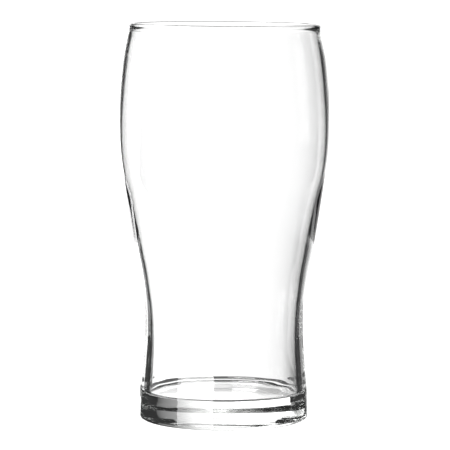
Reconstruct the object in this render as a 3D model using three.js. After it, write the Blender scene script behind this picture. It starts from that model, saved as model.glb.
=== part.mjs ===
// Tulip pint glass: one piece of clear soda-lime glass, pressed and blown, with a fire-polished lip.
//
// Millimetres, +Z up. The origin is the centre of the foot, on the surface that the glass stands on.
// The whole body is one profile turned round the Z axis. The profile starts on the axis under the
// foot, goes out along the underside, up the outside, over the lip, down the inside and back to the
// axis across the floor of the bowl.

import * as THREE from 'three';

// Foot
const footRadius = 34.3; // outside of the foot, just above the heel
const heelRadius = 1.5; // rounding between the side and the underside
const restInner = 27.0; // inner edge of the flat ring that the glass stands on
const puntRise = 2.0; // how far the underside is pushed up at its centre

// Bowl
const floorHeight = 10.5; // top of the solid base
const floorFillet = 1.2; // rounding between the floor and the wall

// Lip
const totalHeight = 160.0;
const lipRadius = 1.05; // the edge is a half round of this radius
const mouthRadius = 38.6; // outside of the lip

// The side, from the foot up. Each station gives the height, the outer radius and the wall there.
// The glass is thick in the foot, thins out where it was blown widest, and thickens to the lip.
const stations = [
  { height: 13, radius: 33.8, wall: 3.6 }, // beside the floor of the bowl
  { height: 25, radius: 32.85, wall: 3.5 },
  { height: 37, radius: 32.25, wall: 3.05 }, // waist
  { height: 49, radius: 32.55, wall: 2.7 },
  { height: 60.5, radius: 34.25, wall: 2.85 }, // start of the flare
  { height: 71.5, radius: 36.6, wall: 2.8 },
  { height: 84, radius: 38.6, wall: 2.05 },
  { height: 97, radius: 40.5, wall: 1.15 }, // thinnest glass
  { height: 109.5, radius: 42.1, wall: 1.2 },
  { height: 121.5, radius: 42.45, wall: 1.35 }, // widest point of the tulip
  { height: 134, radius: 42.1, wall: 1.75 },
  { height: 146, radius: 40.95, wall: 1.9 },
  { height: 153, radius: 39.55, wall: 1.75 },
  { height: 157, radius: 38.6, wall: 1.5 }, // neck, where the lip begins
];

// Fineness of the turned surface
const turnSteps = 64; // facets round the axis
const stepsPerSpan = 2; // profile steps between two stations
const smallArcSteps = 3; // steps in the heel and in the floor's fillet
const lipSteps = 6;
const puntSteps = 3;

// Points along an arc in the profile plane, from one angle to another, in degrees.
// An angle of 0 points away from the axis and 90 points up.
function arcPoints(centreRadius, centreHeight, radius, from, to, steps) {
  const rad = THREE.MathUtils.degToRad;
  const clockwise = to < from;
  const arc = new THREE.ArcCurve(centreRadius, centreHeight, radius, rad(from), rad(to), clockwise);
  return arc.getPoints(steps);
}

// The underside's shallow dome, from its centre on the axis out to the ring that the glass stands on.
// It is a piece of a large sphere whose sagitta is the rise and whose half chord is the ring's radius.
function puntPoints() {
  const sphere = (restInner ** 2 + puntRise ** 2) / (2 * puntRise);
  const halfAngle = THREE.MathUtils.radToDeg(Math.asin(restInner / sphere));
  const points = arcPoints(0, puntRise - sphere, sphere, 90, 90 - halfAngle, puntSteps);
  points[0].x = 0;
  points[puntSteps].y = 0;
  return points;
}

// The outside between the heel and the lip: a smooth curve through the stations.
function outsidePoints() {
  const foot = new THREE.Vector2(footRadius, heelRadius);
  const lip = new THREE.Vector2(mouthRadius, totalHeight - lipRadius);
  const side = stations.map((s) => new THREE.Vector2(s.radius, s.height));
  const curve = new THREE.SplineCurve([foot, ...side, lip]);
  return curve.getPoints(stepsPerSpan * (stations.length + 1));
}

// The inside between the lip and the floor's fillet: the same stations, moved in by the wall.
function insidePoints() {
  const lip = new THREE.Vector2(mouthRadius - 2 * lipRadius, totalHeight - lipRadius);
  const side = stations.map((s) => new THREE.Vector2(s.radius - s.wall, s.height));
  side[0].y = floorHeight + floorFillet;
  const curve = new THREE.SplineCurve([...side, lip]);
  return curve.getPoints(stepsPerSpan * stations.length).reverse();
}

// The whole outline, in order. Where two stretches meet, the second one's first point is left out.
function glassProfile() {
  const heelCentre = footRadius - heelRadius;
  const heel = arcPoints(heelCentre, heelRadius, heelRadius, -90, 0, smallArcSteps);
  const lipCentre = mouthRadius - lipRadius;
  const lip = arcPoints(lipCentre, totalHeight - lipRadius, lipRadius, 0, 180, lipSteps);
  const filletCentre = stations[0].radius - stations[0].wall - floorFillet;
  const fillet = arcPoints(filletCentre, floorHeight + floorFillet, floorFillet, 0, -90, smallArcSteps);
  const floorCentre = new THREE.Vector2(0, floorHeight);
  return [
    ...puntPoints(),
    ...heel,
    ...outsidePoints().slice(1),
    ...lip.slice(1),
    ...insidePoints().slice(1),
    ...fillet.slice(1),
    floorCentre,
  ];
}

// Clear glass with the faint grey-green cast that soda-lime glass has where it is thick.
function clearGlass() {
  return new THREE.MeshStandardMaterial({
    color: 0xe4ebe6,
    roughness: 0.02,
    metalness: 0.0,
    transparent: true,
    opacity: 0.3,
  });
}

function makeGlass() {
  const geometry = new THREE.LatheGeometry(glassProfile(), turnSteps);
  const mesh = new THREE.Mesh(geometry, clearGlass());
  mesh.name = 'glass';
  mesh.rotation.x = Math.PI / 2; // a lathe turns round Y, and the glass stands on Z
  return mesh;
}

const pintGlass = new THREE.Group();
pintGlass.add(makeGlass());

export default pintGlass;
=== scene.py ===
"""Tulip pint glass, in its studio.

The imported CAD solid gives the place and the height. A finely turned piece of clear glass stands for it,
and a bright-field light set, which turns with the camera, draws its edges.
"""

import math

import bpy
import numpy as np
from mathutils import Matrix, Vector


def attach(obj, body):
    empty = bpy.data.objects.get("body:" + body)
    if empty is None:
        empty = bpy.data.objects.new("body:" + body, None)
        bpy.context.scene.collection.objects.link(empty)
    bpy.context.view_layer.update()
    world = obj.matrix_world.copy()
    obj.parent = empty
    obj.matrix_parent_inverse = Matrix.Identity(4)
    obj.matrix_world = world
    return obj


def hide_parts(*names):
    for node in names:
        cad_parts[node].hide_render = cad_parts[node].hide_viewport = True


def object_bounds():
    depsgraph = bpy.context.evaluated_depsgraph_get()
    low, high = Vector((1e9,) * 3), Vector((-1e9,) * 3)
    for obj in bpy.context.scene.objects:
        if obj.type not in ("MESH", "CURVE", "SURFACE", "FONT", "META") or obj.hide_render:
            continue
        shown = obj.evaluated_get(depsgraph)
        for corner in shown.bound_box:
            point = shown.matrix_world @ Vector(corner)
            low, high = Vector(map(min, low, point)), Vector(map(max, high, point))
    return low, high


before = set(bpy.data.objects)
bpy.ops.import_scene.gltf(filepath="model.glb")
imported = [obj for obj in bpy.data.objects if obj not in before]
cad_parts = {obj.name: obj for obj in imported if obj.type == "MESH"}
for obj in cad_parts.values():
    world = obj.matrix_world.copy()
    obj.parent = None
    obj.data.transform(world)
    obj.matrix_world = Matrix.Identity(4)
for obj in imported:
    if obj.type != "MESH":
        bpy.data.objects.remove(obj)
cad_low, cad_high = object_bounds()

MM = 0.001

# ---------------------------------------------------------------- the glass, in millimetres

TOTAL_HEIGHT = round(cad_high[2] / MM, 1)
FOOT_RADIUS = 34.3  # outside of the foot, just above the heel
HEEL_RADIUS = 1.5  # rounding between the side and the underside
REST_INNER = 27.0  # inner edge of the flat ring that the glass stands on
PUNT_RISE = 2.0  # how far the underside is pushed up at its centre
FLOOR_HEIGHT = 10.5  # top of the solid base
FLOOR_FILLET = 1.2  # rounding between the floor and the wall
LIP_RADIUS = 1.05  # the edge is a half round of this radius
MOUTH_RADIUS = 38.6  # outside of the lip

# The side, from the foot up: height, outer radius and wall.
STATIONS = np.array(
    [
        [13.0, 33.8, 3.6],  # beside the floor of the bowl
        [25.0, 32.85, 3.5],
        [37.0, 32.25, 3.05],  # waist
        [49.0, 32.55, 2.7],
        [60.5, 34.25, 2.85],  # start of the flare
        [71.5, 36.6, 2.8],
        [84.0, 38.6, 2.05],
        [97.0, 40.5, 1.15],  # thinnest glass
        [109.5, 42.1, 1.2],
        [121.5, 42.45, 1.35],  # widest point of the tulip
        [134.0, 42.1, 1.75],
        [146.0, 40.95, 1.9],
        [153.0, 39.55, 1.75],
        [157.0, 38.6, 1.5],  # neck, where the lip begins
    ]
)

# How the blown bowl strays from true.
BORE_SHIFT = -0.2  # sideways, in full above BORE_SHIFT_FULL and not at all below BORE_SHIFT_NONE
BORE_SHIFT_NONE = 45.0
BORE_SHIFT_FULL = 75.0
FLOOR_TILT = 0.75  # how much lower the floor would be at the back of the foot
RIM_TILT = 0.15  # how much lower the rim is on its right

# How the pressed foot strays from true.
RIPPLE_HEIGHT = 0.012
RIPPLE_LENGTH = 3.4
RIPPLE_MIDDLE = 9.0  # height of the strongest ripple
RIPPLE_REACH = 8.0  # how far above and below that it has mostly died out
RIPPLE_START = 4.0  # from this height down it is brought to nothing at the table
UNDERSIDE_WAVE = 0.06

# Fineness of the turned surface
TURN_STEPS = 256
FOOT_SPAN_STEPS = 24
SPAN_STEPS = 8
SMALL_ARC_STEPS = 14
LIP_STEPS = 24
REST_STEPS = 6
FLAT_STEPS = 22


def arc(centre_radius, centre_height, radius, start, end, steps):
    """Centre plus radius times (cosine, sine) of an angle that runs evenly from start to end, in degrees."""
    angle = np.radians(np.linspace(start, end, steps + 1))
    return np.stack([centre_radius + radius * np.cos(angle), centre_height + radius * np.sin(angle)], axis=1)


def smooth_curve(points, steps):
    """Catmull-Rom through the points: each span is the cubic whose end slopes are half the chord between the
    neighbours on either side, with the end points counted twice. steps lists the steps in each span."""
    padded = np.concatenate([points[:1], points, points[-1:]])
    curve = []
    for before, start, end, after, count in zip(padded, padded[1:], padded[2:], padded[3:], steps):
        slope_in, slope_out = (end - before) / 2, (after - start) / 2
        t = np.linspace(0, 1, count, endpoint=False)[:, None]
        cubic = (2 * start - 2 * end + slope_in + slope_out) * t**3
        square = (3 * end - 3 * start - 2 * slope_in - slope_out) * t**2
        curve.append(cubic + square + slope_in * t + start)
    return np.concatenate(curve + [points[-1:]])


def line(start, end, steps):
    """Evenly spaced points on the straight line from start to end."""
    return np.linspace(start, end, steps + 1)


def glass_profile():
    """The outline of the wall in the plane of the axis, as (radius, height) in millimetres: from the axis
    under the foot, out over the shallow dome and the flat rest ring, round the heel, up the outside, over
    the half-round lip, down the inside, round the fillet and back to the axis across the floor. The second
    result is 1 on the inside, 0 outside and between the two over the lip."""
    dome = (REST_INNER**2 + PUNT_RISE**2) / (2 * PUNT_RISE)
    half_angle = math.degrees(math.asin(REST_INNER / dome))
    punt = arc(0, PUNT_RISE - dome, dome, 90, 90 - half_angle, FLAT_STEPS)
    heel_centre = FOOT_RADIUS - HEEL_RADIUS
    rest = line([REST_INNER, 0], [heel_centre, 0], REST_STEPS)
    heel = arc(heel_centre, HEEL_RADIUS, HEEL_RADIUS, -90, 0, SMALL_ARC_STEPS)
    height, radius, wall = STATIONS.T
    lip_height = TOTAL_HEIGHT - LIP_RADIUS
    side = np.stack([radius, height], axis=1)
    outside = smooth_curve(
        np.concatenate([[[FOOT_RADIUS, HEEL_RADIUS]], side, [[MOUTH_RADIUS, lip_height]]]),
        [FOOT_SPAN_STEPS] * 2 + [SPAN_STEPS] * (len(STATIONS) - 1),
    )
    lip = arc(MOUTH_RADIUS - LIP_RADIUS, lip_height, LIP_RADIUS, 0, 180, LIP_STEPS)
    wall_side = np.stack([radius - wall, height], axis=1)
    wall_side[0, 1] = FLOOR_HEIGHT + FLOOR_FILLET
    inside = smooth_curve(
        np.concatenate([wall_side, [[MOUTH_RADIUS - 2 * LIP_RADIUS, lip_height]]]),
        [SPAN_STEPS] * len(STATIONS),
    )[::-1]
    fillet_centre = wall_side[0, 0] - FLOOR_FILLET
    fillet = arc(fillet_centre, FLOOR_HEIGHT + FLOOR_FILLET, FLOOR_FILLET, 0, -90, SMALL_ARC_STEPS)
    floor = line([fillet_centre, FLOOR_HEIGHT], [0, FLOOR_HEIGHT], FLAT_STEPS)
    outer = np.concatenate([punt, rest[1:], heel[1:], outside[1:]])
    inner = np.concatenate([inside[1:], fillet[1:], floor[1:]])
    profile = np.concatenate([outer, lip[1:], inner])
    within = np.concatenate([np.zeros(len(outer)), np.linspace(0, 1, len(lip) - 1), np.ones(len(inner))])
    profile[0, 0] = profile[-1, 0] = 0
    return profile, within


def foot_ripple(height, angle, within):
    """Rings of ripple on the outside of the foot: a sine of the height, whose phase drifts up and down with
    sines of the turn angle, so that no ring is level. Its strength is a bell curve of the height that is
    brought down to nothing at the table, and it swells and fades by half twice round the foot."""
    bell = np.exp(-(((height - RIPPLE_MIDDLE) / RIPPLE_REACH) ** 2))
    zone = bell * np.clip(height / RIPPLE_START, 0, 1) * (1 - within)
    phase = 2 * math.pi * height / RIPPLE_LENGTH + 1.3 * np.sin(angle + 0.7) + 0.8 * np.sin(3 * angle)
    swell = 1 + 0.5 * np.sin(2 * angle + height / 5)
    return RIPPLE_HEIGHT * zone * swell * np.sin(phase)


def underside_wave(x, y, radius, height, within):
    """Unevenness of the pushed-up underside: the product of a sine across and a cosine along, plus a slanting
    sine, which dies out with the square of the radius towards the rest ring."""
    under = (1 - within) * (height < PUNT_RISE + 1)
    bowl = np.clip(1 - (radius / REST_INNER) ** 2, 0, 1) * under
    wave = np.sin(x / 4.3 + 0.9) * np.cos(y / 5.6 - 0.4) + 0.6 * np.sin((x + 1.7 * y) / 7.1)
    return UNDERSIDE_WAVE * bowl * wave


def stray(radius, height, angle, within):
    """Where the turned point really is: (radius cos a, radius sin a, height), with the foot's ripple added to
    the radius. The upper bore sits a little to one side. The rim leans with the square of the height above
    half way. The floor of the bowl leans back, which dies out up the wall, and the underside is wavy."""
    radius = radius + foot_ripple(height, angle, within)
    shift = np.clip((height - BORE_SHIFT_NONE) / (BORE_SHIFT_FULL - BORE_SHIFT_NONE), 0, 1)
    x = radius * np.cos(angle) + BORE_SHIFT * within * shift
    y = radius * np.sin(angle)
    rim_lean = np.clip(2 * height / TOTAL_HEIGHT - 1, 0, 1) ** 2
    low, high = STATIONS[:2, 0]
    floor_lean = within * np.clip((high - height) / (high - low), 0, 1)
    z = height - RIM_TILT * rim_lean * x / MOUTH_RADIUS - FLOOR_TILT * floor_lean * y / STATIONS[0, 1]
    z = z + underside_wave(x, y, radius, height, within)
    return np.stack([x, y, z], axis=2)


def turned_mesh(name, profile, within, steps):
    """A closed surface of revolution: each point of the profile at each turn angle, where stray puts it. Each
    end on the axis is one vertex with a fan round it."""
    angle = np.linspace(0, 2 * math.pi, steps, endpoint=False)
    grid = stray(profile[1:-1, :1], profile[1:-1, 1:], angle, within[1:-1, None])
    ends = stray(profile[[0, -1], :1], profile[[0, -1], 1:], np.zeros(1), within[[0, -1], None])
    points = np.concatenate([grid.reshape(-1, 3), ends.reshape(-1, 3)]) * MM
    rows = len(grid)
    index = np.arange(rows * steps).reshape(rows, steps)
    turned = np.roll(index, -1, axis=1)
    quads = np.stack([index[:-1], turned[:-1], turned[1:], index[1:]], axis=2).reshape(-1, 4)
    bottom, top = rows * steps, rows * steps + 1
    under = np.stack([np.full(steps, bottom), turned[0], index[0]], axis=1)
    over = np.stack([np.full(steps, top), index[-1], turned[-1]], axis=1)
    mesh = bpy.data.meshes.new(name)
    mesh.from_pydata(points.tolist(), [], quads.tolist() + under.tolist() + over.tolist())
    mesh.shade_smooth()
    piece = bpy.data.objects.new(name, mesh)
    bpy.context.scene.collection.objects.link(piece)
    return piece


# ---------------------------------------------------------------- materials


def linear(hex_colour):
    """An sRGB hex colour as linear red, green, blue and 1."""
    parts = [int(hex_colour[i : i + 2], 16) / 255 for i in (1, 3, 5)]
    return [p / 12.92 if p <= 0.04045 else ((p + 0.055) / 1.055) ** 2.4 for p in parts] + [1.0]


def add_node(tree, kind, settings=None, inputs=None, links=None):
    """Adds one node: settings are its properties, inputs its unlinked values, links the sockets that feed
    it."""
    node = tree.nodes.new(kind)
    for key, value in (settings or {}).items():
        setattr(node, key, value)
    for key, value in (inputs or {}).items():
        node.inputs[key].default_value = value
    for key, socket in (links or {}).items():
        tree.links.new(socket, node.inputs[key])
    return node


def new_material(name):
    """An empty node material."""
    material = bpy.data.materials.new(name)
    material.use_nodes = True
    material.node_tree.nodes.clear()
    return material, material.node_tree


def soda_lime_glass():
    """Soda-lime glass, pressed and blown, fire polished: clear and smooth, with a faint flow in the surface
    from the mould, which makes the reflections run a little, and a rest ring scuffed matt by shelves and bar
    tops. The body's faint grey-green cast shows only where light runs along the wall."""
    material, tree = new_material("soda_lime_glass_fire_polished")
    place = add_node(tree, "ShaderNodeTexCoord")
    parts = add_node(tree, "ShaderNodeSeparateXYZ", links={"Vector": place.outputs["Object"]})
    flow_length, flow_depth = 14 * MM, 0.004 * MM
    flow = add_node(
        tree,
        "ShaderNodeTexNoise",
        inputs={"Scale": 1 / flow_length, "Detail": 1.0, "Distortion": 0.6},
        links={"Vector": place.outputs["Object"]},
    )
    surface = add_node(
        tree,
        "ShaderNodeBump",
        inputs={"Strength": 1.0, "Distance": flow_depth},
        links={"Height": flow.outputs["Fac"]},
    )
    scuff_edge = 0.35 * MM
    on_ring = add_node(
        tree, "ShaderNodeMath", {"operation": "LESS_THAN"}, {1: scuff_edge}, {0: parts.outputs["Z"]}
    )
    scratch_length = 1.5 * MM
    scratches = add_node(
        tree,
        "ShaderNodeTexNoise",
        inputs={"Scale": 1 / scratch_length, "Detail": 4.0},
        links={"Vector": place.outputs["Object"]},
    )
    scuffed = add_node(
        tree,
        "ShaderNodeMapRange",
        inputs={"From Min": 0.4, "From Max": 0.65, "To Min": 0.08, "To Max": 0.3},
        links={"Value": scratches.outputs["Fac"]},
    )
    roughness = add_node(
        tree,
        "ShaderNodeMath",
        {"operation": "MULTIPLY"},
        links={0: scuffed.outputs["Result"], 1: on_ring.outputs["Value"]},
    )
    shader = add_node(
        tree,
        "ShaderNodeBsdfPrincipled",
        inputs={"Base Color": (1, 1, 1, 1), "IOR": 1.52, "Transmission Weight": 1.0},
        links={"Roughness": roughness.outputs["Value"], "Normal": surface.outputs["Normal"]},
    )
    tint = add_node(
        tree,
        "ShaderNodeVolumeAbsorption",
        inputs={"Color": linear("#e4e8e4"), "Density": 3.5},
    )
    add_node(
        tree,
        "ShaderNodeOutputMaterial",
        links={"Surface": shader.outputs["BSDF"], "Volume": tint.outputs["Volume"]},
    )
    return material


def glowing(name, radiance):
    """A surface that only shines, evenly."""
    material, tree = new_material(name)
    shine = add_node(
        tree, "ShaderNodeEmission", inputs={"Color": (1, 1, 1, 1), "Strength": radiance}
    )
    add_node(tree, "ShaderNodeOutputMaterial", links={"Surface": shine.outputs["Emission"]})
    return material


# ---------------------------------------------------------------- studio, in metres and degrees

CAMERA_DISTANCE = 1108.0 * MM
CAMERA_HEIGHT = 188.2 * MM
AIM_HEIGHT = 78.6 * MM
CAMERA_PITCH = math.atan2(CAMERA_HEIGHT - AIM_HEIGHT, CAMERA_DISTANCE)
CAMERA_ROLL = math.radians(-0.21)
LENS = 220.0  # focal length in millimetres

# How brightly things shine, where 1 is plain white.
BACKDROP_RADIANCE = 1.38
STRAY_RADIANCE = 0.035
STRIP_RADIANCE = 1.9
KEY_RADIANCE = 6.7

# The floor and its wall: the radius of the flat, the radius of the bend and the top of the wall.
SWEEP_FLAT = 3.0
SWEEP_BEND = 1.0
SWEEP_TOP = 4.0

# The light set stands round the middle of the glass. Heights are from there. Azimuth 0 is straight behind
# the glass and 90 to the right, as the camera sees it. The upper window is the widest, with its sill level
# with the lower window's head.
WINDOW_RADIUS = 1.5
WINDOW_LEFT, WINDOW_RIGHT = -38.0, 39.0
WINDOW_SILL, WINDOW_TOP = -0.4, 0.9
LOWER_LEFT, LOWER_RIGHT = -30, 26
LOWER_SILL = -0.9

# The windows' radiance at each azimuth, which is bright on the left and fades to the right.
WINDOW_LEVELS = [
    (WINDOW_LEFT, 0.35),
    (-34, 0.8),
    (-29, 1.3),
    (1, 1.3),
    (10, 1.1),
    (15, 0.78),
    (20, 0.52),
    (24, 0.38),
    (33, 0.26),
    (WINDOW_RIGHT, 0.12),
]

# Other upright pieces: radius, azimuth from and to, lowest and highest edge. The strip light stands just in
# front of the windows' left half, the foil carries on from their left edge, and the key softbox is on the
# camera's side.
STRIP_LIGHT = (1.48, -44, -5, -0.6, 0.36)
KEY_SOFTBOX = (0.9, -166.3, -114.4, -0.45, 0.05)
FOIL_REFLECTOR = (WINDOW_RADIUS, -64, WINDOW_LEFT, -0.3, WINDOW_TOP)

# Level pieces overhead: the name, what it is made of, its radiance, and its left, right, back and front
# edges. The panels, which are behind the glass, light the floor of the bowl, and the cards straight above
# it light the curved band at the front of the base.
OVERHEAD_HEIGHT = 1.5
OVERHEAD_PIECES = [
    ("overhead_panel", "tracing_paper", 0.8, (-0.06, 0.6, -1.75, -0.55)),
    ("shaded_overhead_panel", "double_tracing_paper", 0.45, (-0.5, -0.06, -1.75, -0.55)),
    ("bright_overhead_card", "white_card", 2.8, (-0.06, 0.35, -0.15, 0.8)),
    ("dim_overhead_card", "grey_card", 0.45, (-0.5, -0.06, -0.15, 0.8)),
]

# What lies on the table behind the foot, in millimetres: the name, what it is made of, its radiance, how
# high it lies, and its left, right, near and far edges. They make the dark band behind the floor.
# None of these is lit: each glows evenly at its radiance, which is painted light on felt and card. The nearer
# strip of felt glows lighter than the far one.
TABLE_PIECES = [
    ("grey_mat", "grey_felt_painted_glow", 0.14, 0.4, (-70, 70, 72, 95)),
    ("near_mat_lighter_glow", "felt_painted_lighter_glow", 0.36, 0.4, (-70, 70, 54, 72)),
    ("card_on_mat", "light_grey_card_painted_glow", 0.42, 0.8, (2, 17, 83, 92)),
]

# The black flags beside the glass draw its dark side lines. Each row is a height and how far back the flag
# goes there, and each flag has a notch beside the flare.
FLAG_SIDE = 0.1035
FLAG_FRONT = 0.05
LEFT_FLAG = [(-0.2, 0.165), (-0.045, 0.165), (-0.03, 0.13), (-0.004, 0.13), (0.007, 0.205), (0.5, 0.205)]
RIGHT_FLAG = [(-0.09, 0.15), (-0.045, 0.15), (-0.03, 0.12), (-0.004, 0.12), (0.007, 0.15), (0.5, 0.15)]


def make_camera():
    """A long lens in front of the glass, aimed at its axis from a little above."""
    data = bpy.data.cameras.new("camera")
    data.lens = LENS
    data.clip_start = 0.05
    data.clip_end = 20
    camera = bpy.data.objects.new("camera", data)
    bpy.context.scene.collection.objects.link(camera)
    camera.location = (0, -CAMERA_DISTANCE, CAMERA_HEIGHT)
    camera.rotation_euler = (math.pi / 2 - CAMERA_PITCH, CAMERA_ROLL, 0)
    bpy.context.scene.camera = camera
    return camera


def grid_object(name, points, material):
    """A surface through a grid of points, rows by columns by 3, in metres."""
    rows, columns = points.shape[:2]
    index = np.arange(rows * columns).reshape(rows, columns)
    faces = np.stack([index[:-1, :-1], index[:-1, 1:], index[1:, 1:], index[1:, :-1]], axis=2)
    mesh = bpy.data.meshes.new(name)
    mesh.from_pydata(points.reshape(-1, 3).tolist(), [], faces.reshape(-1, 4).tolist())
    mesh.materials.append(material)
    item = bpy.data.objects.new(name, mesh)
    bpy.context.scene.collection.objects.link(item)
    return item


def make_sweep():
    """The white floor, which curves up into a wall all round: a flat disc, a quarter circle and a wall. Only
    the camera sees it, because the glass gets its light from the set around it."""
    bend_steps, turn_steps = 16, 64
    angle = np.radians(np.linspace(-90, 0, bend_steps + 1))
    out = SWEEP_FLAT + SWEEP_BEND * np.cos(angle[1:])
    radius = np.concatenate([[0.0, SWEEP_FLAT], out, [SWEEP_FLAT + SWEEP_BEND]])
    height = np.concatenate([[0.0, 0.0], SWEEP_BEND + SWEEP_BEND * np.sin(angle[1:]), [SWEEP_TOP]])
    turn = np.radians(np.linspace(0, 360, turn_steps + 1))
    x = radius[:, None] * np.cos(turn)
    y = radius[:, None] * np.sin(turn)
    z = np.repeat(height[:, None], len(turn), axis=1)
    acrylic = glowing("opal_acrylic_lit", BACKDROP_RADIANCE)
    sweep = grid_object("floor", np.stack([x, y, z], axis=2), acrylic)
    sweep.visible_transmission = False
    sweep.visible_glossy = False
    return sweep


def make_rig(camera):
    """An empty at the middle of the glass that turns with the camera. What hangs on it is placed by how far
    it is to the right, up and towards the camera, as the camera sees it."""
    rig = bpy.data.objects.new("light_rig", None)
    bpy.context.scene.collection.objects.link(rig)
    rig.location = (0, 0, AIM_HEIGHT)
    turn = rig.constraints.new("COPY_ROTATION")
    turn.target = camera
    return rig


def hang(rig, item):
    """Puts a piece on the rig, out of the camera's direct sight."""
    item.parent = rig
    item.visible_camera = False
    return item


def upright_arc(radius, start, end, low, high, columns=24):
    """Part of an upright cylinder round the glass: (radius sin a, height, -radius cos a) for azimuth a from
    start to end, at the heights low and high."""
    azimuth = np.radians(np.linspace(start, end, columns + 1))
    right = radius * np.sin(azimuth)
    near = -radius * np.cos(azimuth)
    rows = [np.stack([right, np.full_like(right, level), near], axis=1) for level in (low, high)]
    return np.stack(rows)


def level_panel(height, left, right, back, front):
    """A level rectangle above the glass: its height, and its edges to the right and towards the camera."""
    return np.array([[[side, height, near] for side in (left, right)] for near in (back, front)])


def table_panel(height, left, right, near, far):
    """A rectangle that lies on the table behind the glass, in millimetres from the foot's centre: each point
    behind and below the rig's middle is turned by the camera's pitch, because the rig is."""
    drop = height * MM - AIM_HEIGHT
    rows = []
    for behind in (near * MM, far * MM):
        up = behind * math.sin(CAMERA_PITCH) + drop * math.cos(CAMERA_PITCH)
        toward = drop * math.sin(CAMERA_PITCH) - behind * math.cos(CAMERA_PITCH)
        rows.append([[side * MM, up, toward] for side in (left, right)])
    return np.array(rows)


def flag(side, backs):
    """An upright card beside the glass that faces it: side is how far to the right it stands, and backs lists
    heights and how far back it goes at each, from the bottom up."""
    return np.array([[[side, level, FLAG_FRONT], [side, level, -back]] for level, back in backs])


def make_lights(rig):
    """Hangs the whole set. The windows make the body clear white and shade it grey to the right. The strip
    light keeps the left edge clear, and the key softbox gives the foot its pale upright stripe."""
    cloth = window_cloth()
    window = upright_arc(WINDOW_RADIUS, WINDOW_LEFT, WINDOW_RIGHT, WINDOW_SILL, WINDOW_TOP, columns=96)
    hang(rig, grid_object("lit_window", window, cloth))
    lower = upright_arc(WINDOW_RADIUS, LOWER_LEFT, LOWER_RIGHT, LOWER_SILL, WINDOW_SILL, columns=72)
    hang(rig, grid_object("lower_window", lower, cloth))
    tube = glowing("frosted_acrylic_tube", STRIP_RADIANCE)
    hang(rig, grid_object("strip_light", upright_arc(*STRIP_LIGHT), tube))
    for name, material, radiance, edges in OVERHEAD_PIECES:
        hang(rig, grid_object(name, level_panel(OVERHEAD_HEIGHT, *edges), glowing(material, radiance)))
    for name, material, radiance, height, edges in TABLE_PIECES:
        # The mats and the card on the table glow evenly at their radiance: painted light, not lamps.
        hang(rig, grid_object(name, table_panel(height, *edges), glowing(material, radiance)))
    velvet = glowing("black_velvet", STRAY_RADIANCE)
    hang(rig, grid_object("left_flag", flag(-FLAG_SIDE, LEFT_FLAG), velvet))
    hang(rig, grid_object("right_flag", flag(FLAG_SIDE, RIGHT_FLAG), velvet))
    softbox = glowing("softbox_cloth", KEY_RADIANCE)
    hang(rig, grid_object("key_softbox", upright_arc(*KEY_SOFTBOX), softbox))
    hang(rig, grid_object("left_reflector", upright_arc(*FOIL_REFLECTOR), crumpled_foil()))


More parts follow.
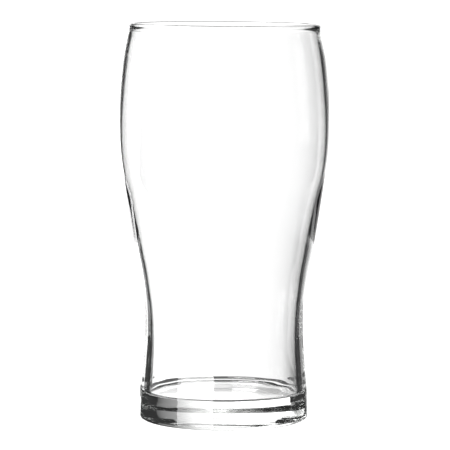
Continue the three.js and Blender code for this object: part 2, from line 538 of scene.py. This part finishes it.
def window_cloth():
    """Diffusion cloth over the windows, lit from behind: its glow is read off WINDOW_LEVELS by the azimuth,
    the arctangent of right over back."""
    material, tree = new_material("diffusion_cloth_lit")
    place = add_node(tree, "ShaderNodeTexCoord")
    parts = add_node(tree, "ShaderNodeSeparateXYZ", links={"Vector": place.outputs["Object"]})
    back = add_node(
        tree, "ShaderNodeMath", {"operation": "MULTIPLY"}, {1: -1.0}, {0: parts.outputs["Z"]}
    )
    azimuth = add_node(
        tree,
        "ShaderNodeMath",
        {"operation": "ARCTAN2"},
        links={0: parts.outputs["X"], 1: back.outputs["Value"]},
    )
    share = add_node(
        tree,
        "ShaderNodeMapRange",
        inputs={"From Min": math.radians(WINDOW_LEFT), "From Max": math.radians(WINDOW_RIGHT)},
        links={"Value": azimuth.outputs["Value"]},
    )
    ramp = add_node(tree, "ShaderNodeValToRGB", links={"Fac": share.outputs["Result"]})
    elements = ramp.color_ramp.elements
    while len(elements) < len(WINDOW_LEVELS):
        elements.new(0.5)
    for element, (degrees, level) in zip(elements, WINDOW_LEVELS):
        element.position = (degrees - WINDOW_LEFT) / (WINDOW_RIGHT - WINDOW_LEFT)
        element.color = (level, level, level, 1)
    shine = add_node(
        tree, "ShaderNodeEmission", inputs={"Strength": 1.0}, links={"Color": ramp.outputs["Color"]}
    )
    add_node(tree, "ShaderNodeOutputMaterial", links={"Surface": shine.outputs["Emission"]})
    return material


def crumpled_foil():
    """Crumpled foil beside the window: level streaks of light, which break up the dark lines at the edges."""
    material, tree = new_material("crumpled_foil")
    streak_spacing = 60 * MM
    place = add_node(tree, "ShaderNodeTexCoord")
    stretch = add_node(
        tree,
        "ShaderNodeMapping",
        inputs={"Scale": (0.25, 1.0, 0.25)},
        links={"Vector": place.outputs["Object"]},
    )
    streaks = add_node(
        tree,
        "ShaderNodeTexNoise",
        inputs={"Scale": 1 / streak_spacing, "Detail": 2.0},
        links={"Vector": stretch.outputs["Vector"]},
    )
    level = add_node(
        tree,
        "ShaderNodeMapRange",
        inputs={"From Min": 0.48, "From Max": 0.68, "To Min": 0.13, "To Max": 1.1},
        links={"Value": streaks.outputs["Fac"]},
    )
    shine = add_node(tree, "ShaderNodeEmission", links={"Strength": level.outputs["Result"]})
    add_node(tree, "ShaderNodeOutputMaterial", links={"Surface": shine.outputs["Emission"]})
    return material


def make_world():
    """A dark studio: only stray light comes from where nothing stands."""
    world = bpy.data.worlds.new("dark_studio")
    bpy.context.scene.world = world
    world.use_nodes = True
    tree = world.node_tree
    tree.nodes.clear()
    dim = add_node(
        tree, "ShaderNodeBackground", inputs={"Color": (1, 1, 1, 1), "Strength": STRAY_RADIANCE}
    )
    add_node(tree, "ShaderNodeOutputWorld", links={"Surface": dim.outputs["Background"]})


def set_light_paths():
    """Light crosses many surfaces in the solid foot, so paths may be long."""
    bounces = 32
    cycles = bpy.context.scene.cycles
    cycles.max_bounces = bounces
    cycles.transmission_bounces = bounces
    cycles.glossy_bounces = bounces
    bpy.context.scene.view_settings.view_transform = "Standard"


# ---------------------------------------------------------------- build

camera = make_camera()
make_world()
make_sweep()
make_lights(make_rig(camera))
set_light_paths()

glass = turned_mesh("glass_body", *glass_profile(), TURN_STEPS)
glass.data.materials.append(soda_lime_glass())
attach(glass, "root")
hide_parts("glass")
